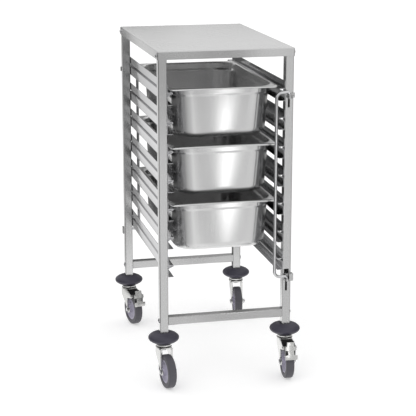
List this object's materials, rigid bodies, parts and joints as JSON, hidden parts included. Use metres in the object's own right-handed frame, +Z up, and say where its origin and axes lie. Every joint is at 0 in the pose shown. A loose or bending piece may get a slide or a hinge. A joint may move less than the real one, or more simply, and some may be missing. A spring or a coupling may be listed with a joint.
{
  "type": "gastronorm tray trolley",
  "caption": "Stainless trolley with a worktop, runner rails holding deep gastronorm containers, swing-out locking bars and swivel casters with bumper discs.",
  "frame": {"origin": "on the floor, under the middle of the worktop", "axes": "+X to the right seen from the front, +Y from front to rear, +Z up"},
  "size_m": [0.463, 0.728, 0.99],
  "materials": {
    "worktop_steel": "satin brushed stainless steel",
    "frame_steel": "polished stainless steel",
    "pan_steel": "satin stainless steel",
    "rod_steel": "drawn stainless steel",
    "bolt_steel": "bright plated steel",
    "caster_zinc": "bright zinc plate",
    "bumper_plastic": "moulded plastic",
    "hub_plastic": "moulded plastic",
    "tyre_rubber": "smooth rubber"
  },
  "bodies": {
    "frame": {"worktop": "worktop_steel", "post_front_left": "frame_steel", "post_front_right": "frame_steel", "post_rear_left": "frame_steel", "post_rear_right": "frame_steel", "cross_bar_front": "frame_steel", "cross_bar_rear": "frame_steel", "worktop_bolts": "bolt_steel", "bar_bolts": "bolt_steel", "rail_left_1": "frame_steel", "rail_left_2": "frame_steel", "rail_left_3": "frame_steel", "rail_left_4": "frame_steel", "rail_left_5": "frame_steel", "rail_left_6": "frame_steel", "rail_left_7": "frame_steel", "rail_right_1": "frame_steel", "rail_right_2": "frame_steel", "rail_right_3": "frame_steel", "rail_right_4": "frame_steel", "rail_right_5": "frame_steel", "rail_right_6": "frame_steel", "rail_right_7": "frame_steel", "bracket_front_upper": "rod_steel", "bracket_front_lower": "rod_steel", "bracket_rear_upper": "rod_steel", "bracket_rear_lower": "rod_steel", "bumper_front_left": "bumper_plastic", "bumper_front_right": "bumper_plastic", "bumper_rear_left": "bumper_plastic", "bumper_rear_right": "bumper_plastic", "stem_front_left": "caster_zinc", "stem_front_right": "caster_zinc", "stem_rear_left": "caster_zinc", "stem_rear_right": "caster_zinc"},
    "caster_front_left": {"fork_front_left": "caster_zinc", "axle_front_left": "bolt_steel"},
    "wheel_front_left": {"hub_front_left": "hub_plastic", "tyre_front_left": "tyre_rubber"},
    "caster_front_right": {"fork_front_right": "caster_zinc", "axle_front_right": "bolt_steel"},
    "wheel_front_right": {"hub_front_right": "hub_plastic", "tyre_front_right": "tyre_rubber"},
    "brake_front_right": {"pedal_front_right": "caster_zinc"},
    "caster_rear_left": {"fork_rear_left": "caster_zinc", "axle_rear_left": "bolt_steel"},
    "wheel_rear_left": {"hub_rear_left": "hub_plastic", "tyre_rear_left": "tyre_rubber"},
    "brake_rear_left": {"pedal_rear_left": "caster_zinc"},
    "caster_rear_right": {"fork_rear_right": "caster_zinc", "axle_rear_right": "bolt_steel"},
    "wheel_rear_right": {"hub_rear_right": "hub_plastic", "tyre_rear_right": "tyre_rubber"},
    "lock_front": {"lock_bar_front": "rod_steel"},
    "lock_rear": {"lock_bar_rear": "rod_steel"},
    "container_top": {"pan_top": "pan_steel"},
    "container_middle": {"pan_middle": "pan_steel"},
    "container_bottom": {"pan_bottom": "pan_steel"}
  },
  "joints": [
    {"name": "swivel_front_left", "type": "hinge", "parent": "frame", "child": "caster_front_left", "pos_m": [-0.1855, -0.2955, 0.112], "axis": [0, 0, 1], "continuous": true},
    {"name": "spin_front_left", "type": "hinge", "parent": "caster_front_left", "child": "wheel_front_left", "pos_m": [-0.18077, -0.32917, 0.05], "axis": [0.9903, 0.1392, 0], "continuous": true},
    {"name": "swivel_front_right", "type": "hinge", "parent": "frame", "child": "caster_front_right", "pos_m": [0.1855, -0.2955, 0.112], "axis": [0, 0, 1], "continuous": true},
    {"name": "spin_front_right", "type": "hinge", "parent": "caster_front_right", "child": "wheel_front_right", "pos_m": [0.18402, -0.32947, 0.05], "axis": [0.999, -0.0436, 0], "continuous": true},
    {"name": "brake_press_front_right", "type": "hinge", "parent": "caster_front_right", "child": "brake_front_right", "pos_m": [0.18293, -0.35444, 0.102], "axis": [0.999, -0.0436, 0], "range_deg": [0, 9]},
    {"name": "swivel_rear_left", "type": "hinge", "parent": "frame", "child": "caster_rear_left", "pos_m": [-0.1855, 0.2955, 0.112], "axis": [0, 0, 1], "continuous": true},
    {"name": "spin_rear_left", "type": "hinge", "parent": "caster_rear_left", "child": "wheel_rear_left", "pos_m": [-0.17727, 0.26251, 0.05], "axis": [0.9703, 0.2419, 0], "continuous": true},
    {"name": "brake_press_rear_left", "type": "hinge", "parent": "caster_rear_left", "child": "brake_rear_left", "pos_m": [-0.17123, 0.23825, 0.102], "axis": [0.9703, 0.2419, 0], "range_deg": [0, 9]},
    {"name": "swivel_rear_right", "type": "hinge", "parent": "frame", "child": "caster_rear_right", "pos_m": [0.1855, 0.2955, 0.112], "axis": [0, 0, 1], "continuous": true},
    {"name": "spin_rear_right", "type": "hinge", "parent": "caster_rear_right", "child": "wheel_rear_right", "pos_m": [0.18165, 0.26172, 0.05], "axis": [0.9936, -0.1132, 0], "continuous": true},
    {"name": "lock_swing_front", "type": "hinge", "parent": "frame", "child": "lock_front", "pos_m": [0.184, -0.317, 0.3], "axis": [0, 0, 1], "range_deg": [0, 95]},
    {"name": "lock_swing_rear", "type": "hinge", "parent": "frame", "child": "lock_rear", "pos_m": [-0.184, 0.317, 0.3], "axis": [0, 0, 1], "range_deg": [0, 95]},
    {"name": "container_slide_top", "type": "slide", "parent": "frame", "child": "container_top", "axis": [0, -1, 0], "range_m": [-0.07, 0.024]},
    {"name": "container_slide_middle", "type": "slide", "parent": "frame", "child": "container_middle", "axis": [0, -1, 0], "range_m": [-0.07, 0.024]},
    {"name": "container_slide_bottom", "type": "slide", "parent": "frame", "child": "container_bottom", "axis": [0, -1, 0], "range_m": [-0.07, 0.024]}
  ]
}
